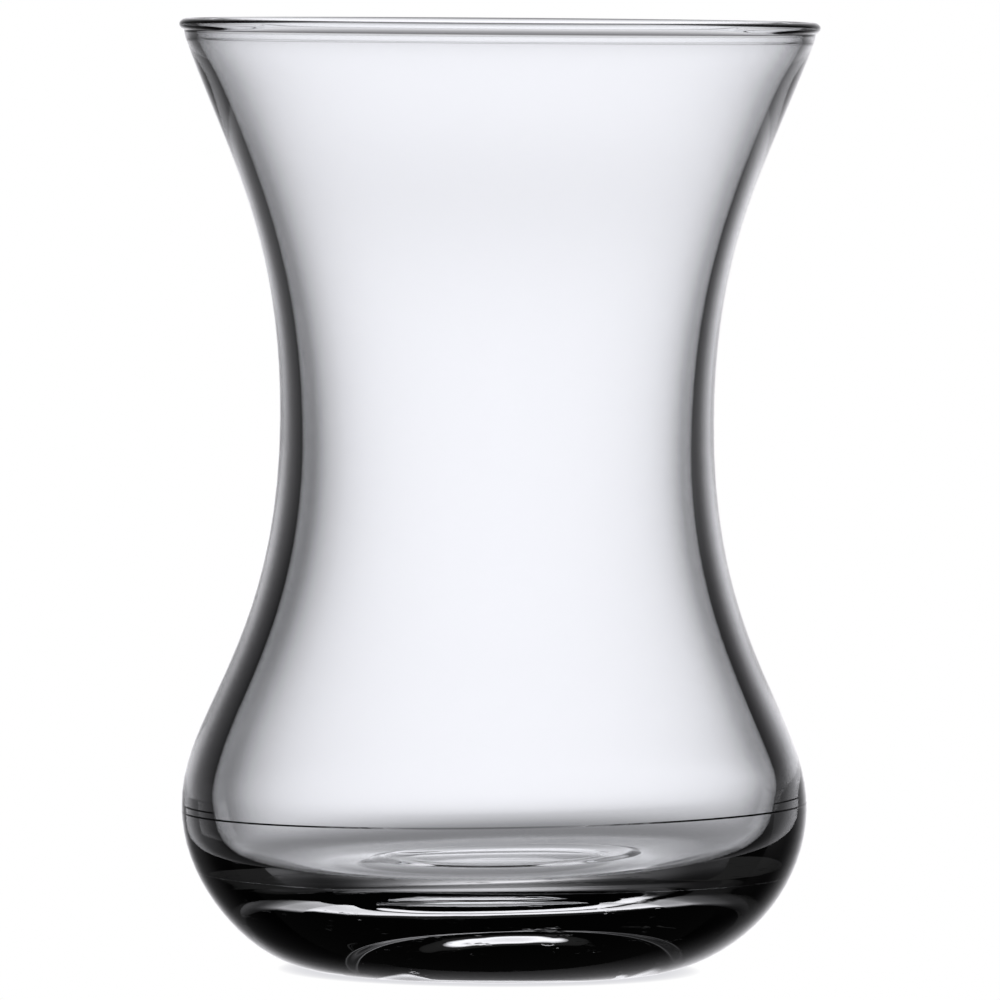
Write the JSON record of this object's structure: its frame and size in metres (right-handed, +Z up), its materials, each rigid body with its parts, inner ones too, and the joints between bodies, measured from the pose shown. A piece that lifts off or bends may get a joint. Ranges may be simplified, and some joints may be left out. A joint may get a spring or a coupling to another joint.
{
  "type": "tea glass",
  "caption": "Empty tulip-shaped drinking glass for hot tea: flared mouth with a rounded rim, narrow waist, round belly and a thick heavy base.",
  "frame": {"origin": "middle of the foot, on the surface that the glass stands on", "axes": "+Z up along the axis that the glass is turned about; the glass is round, so +X and +Y are alike"},
  "size_m": [0.0594, 0.0594, 0.088],
  "materials": {
    "clear_glass": "clear, fire-polished gloss"
  },
  "bodies": {
    "root": {"tea_glass": "clear_glass"}
  },
  "joints": []
}
